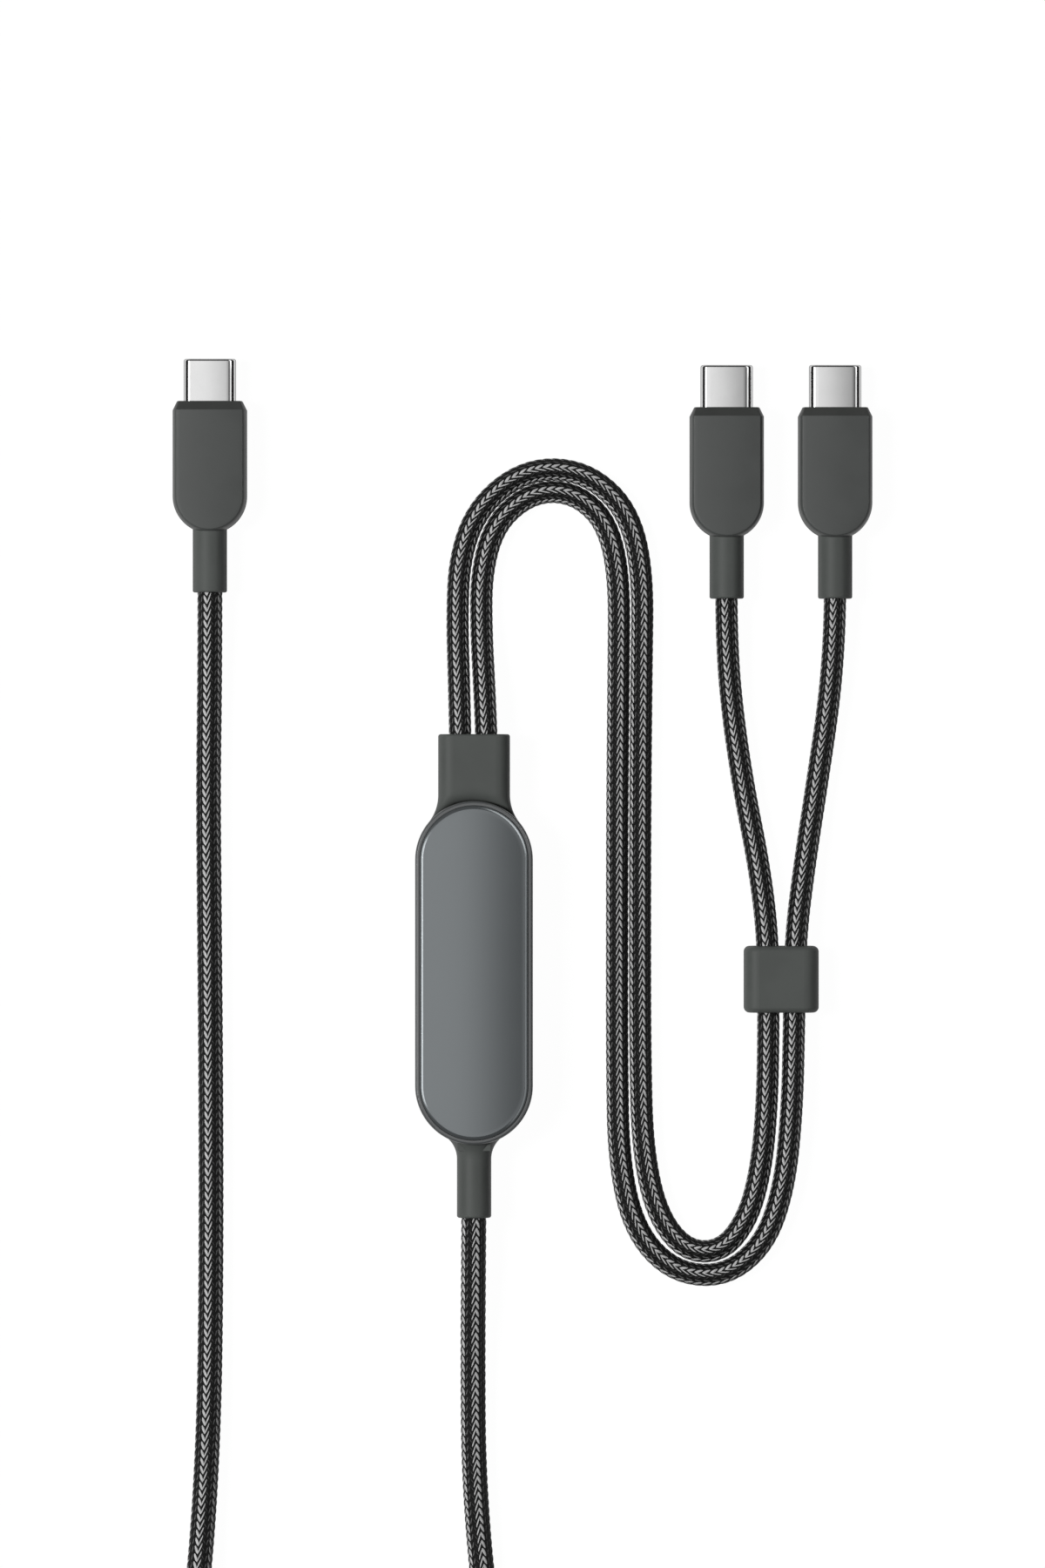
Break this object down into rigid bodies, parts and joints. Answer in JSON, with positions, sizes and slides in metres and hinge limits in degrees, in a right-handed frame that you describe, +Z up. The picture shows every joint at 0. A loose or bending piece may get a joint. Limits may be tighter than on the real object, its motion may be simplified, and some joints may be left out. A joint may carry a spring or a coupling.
{
  "type": "usb-c splitter cable",
  "caption": "Braided USB-C charging cable: one input cord feeds a capsule-shaped hub with two output cords, held side by side by a slider and lying flat, with the spare input cord coiled.",
  "frame": {"origin": "centre of the flat underside of the hub, on the surface the cable lies on", "axes": "+X across the hub, towards the output plugs; +Y along the hub, towards its two output cords; +Z up from the table"},
  "size_m": [0.1102, 0.2471, 0.0101],
  "materials": {
    "cover_plate": "glossy",
    "hub_case": "satin",
    "boot": "matte",
    "slider": "matte",
    "plug_housing": "satin",
    "plug_core": "satin",
    "plug_steel": "satin",
    "spring_steel": "satin",
    "contact_gold": "polished",
    "insulator": "satin",
    "circuit_board": "satin",
    "chip": "matte",
    "capacitor": "satin",
    "wire": "satin",
    "input_cord": "woven",
    "output_cord": "woven",
    "tie_strap": "woven"
  },
  "bodies": {
    "cable": {"cord_tie": "tie_strap", "hub_bottom_plate": "cover_plate", "hub_capacitors": "capacitor", "hub_circuit_board": "circuit_board", "hub_controller_chip": "chip", "hub_inlet_boot": "boot", "hub_inlet_crimp_ring": "spring_steel", "hub_input_wires": "wire", "hub_lower_shell": "hub_case", "hub_outlet_boot": "boot", "hub_outlet_crimp_rings": "spring_steel", "hub_output_wires": "wire", "hub_power_switches": "chip", "hub_sense_resistors": "chip", "hub_top_plate": "cover_plate", "hub_upper_shell": "hub_case", "input_cord_coil": "input_cord", "input_cord_lead": "input_cord", "input_cord_tail": "input_cord", "input_plug_board": "circuit_board", "input_plug_can": "plug_steel", "input_plug_contacts": "contact_gold", "input_plug_core": "plug_core", "input_plug_housing": "plug_housing", "input_plug_insulator": "insulator", "input_plug_latch": "spring_steel", "input_plug_marker_chip": "chip", "input_plug_sleeve": "boot", "input_plug_tongue": "plug_steel", "input_plug_wires": "wire", "left_output_cord": "output_cord", "left_plug_board": "circuit_board", "left_plug_can": "plug_steel", "left_plug_contacts": "contact_gold", "left_plug_core": "plug_core", "left_plug_housing": "plug_housing", "left_plug_insulator": "insulator", "left_plug_latch": "spring_steel", "left_plug_sleeve": "boot", "left_plug_tongue": "plug_steel", "left_plug_wires": "wire", "right_output_cord": "output_cord", "right_plug_board": "circuit_board", "right_plug_can": "plug_steel", "right_plug_contacts": "contact_gold", "right_plug_core": "plug_core", "right_plug_housing": "plug_housing", "right_plug_insulator": "insulator", "right_plug_latch": "spring_steel", "right_plug_sleeve": "boot", "right_plug_tongue": "plug_steel", "right_plug_wires": "wire"},
    "slider": {"slider": "slider"}
  },
  "joints": [
    {"name": "slider_travel", "type": "slide", "parent": "cable", "child": "slider", "axis": [0, 1, 0], "range_m": [-0.012, 0]}
  ]
}
